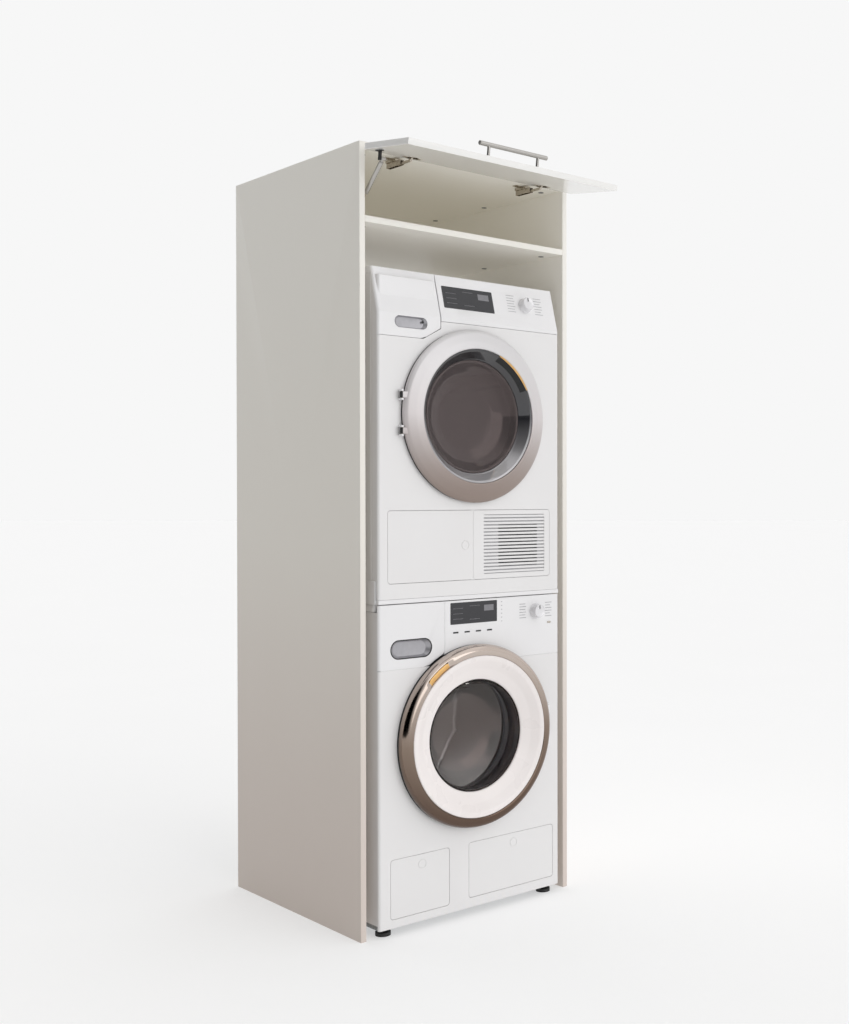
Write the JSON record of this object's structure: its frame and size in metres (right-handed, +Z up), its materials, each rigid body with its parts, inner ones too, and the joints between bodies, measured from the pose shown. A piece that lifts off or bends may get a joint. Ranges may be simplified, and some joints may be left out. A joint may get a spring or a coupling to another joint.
{
  "type": "washer dryer stack",
  "caption": "Tall white laundry cabinet with an open lift-up flap, holding a tumble dryer stacked on a front-loading washing machine, with doors, drawers, knobs and drums that move.",
  "frame": {"origin": "on the floor, under the middle of the whole outline with the flap open", "axes": "+X to the viewer's right, +Y from the front to the back, +Z up"},
  "size_m": [0.684, 0.8736, 2.0236],
  "materials": {
    "cabinet_board": "satin white melamine on chipboard",
    "flap_board": "gloss white lacquer on board",
    "steel_bar": "brushed stainless",
    "zinc_fitting": "nickel plated",
    "dark_fitting": "matte black",
    "white_enamel": "gloss enamel",
    "white_plastic": "satin gloss",
    "grey_steel": "galvanised",
    "black_glass": "gloss black",
    "chrome_ring": "bright chrome",
    "silver_ring": "satin silver",
    "dark_bezel": "gloss anthracite",
    "door_glass": "clear, tinted",
    "drum_steel": "honeycomb stainless",
    "tub_plastic": "matte grey",
    "seal_rubber": "matte grey",
    "belt_rubber": "matte black",
    "motor_metal": "cast",
    "lid_board": "white laminate, satin",
    "base_tray": "moulded grey",
    "ballast": "rough"
  },
  "bodies": {
    "cabinet": {"side_panel_left": "cabinet_board", "side_panel_right": "cabinet_board", "ceiling_panel": "cabinet_board", "shelf_panel": "cabinet_board", "upper_back_panel": "cabinet_board", "rear_rail": "cabinet_board", "cam_fittings": "dark_fitting", "hinge_arms": "zinc_fitting", "strut_side_bracket": "dark_fitting", "washer_casing": "white_enamel", "rear_covers": "grey_steel", "washer_base": "base_tray", "washer_worktop": "lid_board", "washer_front_panel": "white_enamel", "washer_fascia": "white_plastic", "washer_display": "black_glass", "door_hinges": "grey_steel", "washer_door_seal": "seal_rubber", "washer_tub": "tub_plastic", "washer_motor": "motor_metal", "washer_belt": "belt_rubber", "washer_counterweight": "ballast", "washer_suspension": "grey_steel", "washer_drain_pump": "tub_plastic", "washer_feet": "dark_fitting", "stacking_kit": "white_plastic", "dryer_base": "base_tray", "dryer_casing": "white_enamel", "dryer_motor": "motor_metal", "dryer_lid": "lid_board", "dryer_front_panel": "white_enamel", "dryer_fascia": "white_plastic", "dryer_display": "black_glass", "dryer_heat_exchanger": "base_tray", "dryer_grille": "white_plastic"},
    "flap": {"flap_panel": "flap_board", "flap_handle": "steel_bar", "hinge_cups": "zinc_fitting", "strut_flap_bracket": "dark_fitting"},
    "hinge_link": {"hinge_links": "zinc_fitting"},
    "strut_tube": {"strut_tube": "steel_bar"},
    "strut_rod": {"strut_rod": "zinc_fitting"},
    "washer_door": {"washer_door_ring": "chrome_ring", "washer_door_trim": "white_plastic", "washer_door_glass": "door_glass"},
    "dryer_door": {"dryer_door_ring": "silver_ring", "dryer_door_bezel": "dark_bezel", "dryer_door_glass": "door_glass"},
    "washer_knob": {"washer_knob": "zinc_fitting"},
    "dryer_knob": {"dryer_knob": "zinc_fitting"},
    "power_key": {"washer_power_key": "zinc_fitting"},
    "washer_drawer": {"washer_drawer": "white_plastic"},
    "dryer_container": {"dryer_container": "white_plastic"},
    "washer_flap_left": {"washer_flap_left": "white_plastic"},
    "washer_flap_right": {"washer_flap_right": "white_plastic"},
    "dryer_flap": {"dryer_flap": "white_plastic"},
    "washer_drum": {"washer_drum": "drum_steel", "washer_pulley": "motor_metal"},
    "motor_pulley": {"washer_motor_pulley": "motor_metal"},
    "dryer_drum": {"dryer_drum": "drum_steel"}
  },
  "joints": [
    {"name": "flap_hinge", "type": "hinge", "parent": "cabinet", "child": "flap", "pos_m": [0, -0.2462, 2.012], "axis": [1, 0, 0], "range_deg": [0, 82.8]},
    {"name": "cup_link_pivot", "type": "hinge", "parent": "flap", "child": "hinge_link", "pos_m": [0, -0.26465, 1.99052], "axis": [1, 0, 0], "range_deg": [-82.81, 0]},
    {"name": "strut_swing", "type": "hinge", "parent": "cabinet", "child": "strut_rod", "pos_m": [-0.308, -0.1472, 1.849], "axis": [1, 0, 0], "range_deg": [-23.69, 0]},
    {"name": "strut_stroke", "type": "slide", "parent": "strut_rod", "child": "strut_tube", "axis": [0, -0.7395, 0.6732], "range_m": [-0.03361, 0]},
    {"name": "washer_door_hinge", "type": "hinge", "parent": "cabinet", "child": "washer_door", "pos_m": [0.249, -0.2472, 0.484], "axis": [0, 0, 1], "range_deg": [0, 120]},
    {"name": "dryer_door_hinge", "type": "hinge", "parent": "cabinet", "child": "dryer_door", "pos_m": [-0.235, -0.2472, 1.339], "axis": [0, 0, -1], "range_deg": [0, 120]},
    {"name": "washer_knob_turn", "type": "hinge", "parent": "cabinet", "child": "washer_knob", "pos_m": [0.214, -0.2352, 0.805], "axis": [0, -1, 0], "continuous": true},
    {"name": "dryer_knob_turn", "type": "hinge", "parent": "cabinet", "child": "dryer_knob", "pos_m": [0.189, -0.21819, 1.65673], "axis": [0, -0.9651, 0.2617], "continuous": true},
    {"name": "power_key_press", "type": "slide", "parent": "cabinet", "child": "power_key", "axis": [0, 1, 0], "range_m": [0, 0.0015], "stiffness_N_per_m": 400},
    {"name": "washer_drawer_slide", "type": "slide", "parent": "cabinet", "child": "washer_drawer", "axis": [0, -1, 0], "range_m": [0, 0.24]},
    {"name": "dryer_container_slide", "type": "slide", "parent": "cabinet", "child": "dryer_container", "axis": [0, -1, 0], "range_m": [0, 0.38]},
    {"name": "washer_flap_left_hinge", "type": "hinge", "parent": "cabinet", "child": "washer_flap_left", "pos_m": [-0.263, -0.2352, 0.119], "axis": [0, 0, -1], "range_deg": [0, 110]},
    {"name": "washer_flap_right_hinge", "type": "hinge", "parent": "cabinet", "child": "washer_flap_right", "pos_m": [0.275, -0.2352, 0.121], "axis": [0, 0, 1], "range_deg": [0, 110]},
    {"name": "dryer_flap_hinge", "type": "hinge", "parent": "cabinet", "child": "dryer_flap", "pos_m": [-0.27, -0.2352, 0.995], "axis": [0, 0, -1], "range_deg": [0, 110]},
    {"name": "washer_drum_spin", "type": "hinge", "parent": "cabinet", "child": "washer_drum", "pos_m": [0, -0.0352, 0.484], "axis": [0, 1, 0], "continuous": true},
    {"name": "motor_pulley_spin", "type": "hinge", "parent": "cabinet", "child": "motor_pulley", "pos_m": [0.11, 0.2448, 0.12], "axis": [0, 1, 0], "continuous": true},
    {"name": "dryer_drum_spin", "type": "hinge", "parent": "cabinet", "child": "dryer_drum", "pos_m": [0, -0.0352, 1.339], "axis": [0, 1, 0], "continuous": true}
  ],
  "couplings": [
    {"joint": "cup_link_pivot", "follows": "flap_hinge", "ratio": -1},
    {"joint": "strut_swing", "follows": "flap_hinge", "ratio": -0.28602},
    {"joint": "strut_stroke", "follows": "flap_hinge", "m_per_rad": -0.023251},
    {"joint": "motor_pulley_spin", "follows": "washer_drum_spin", "ratio": 10}
  ]
}
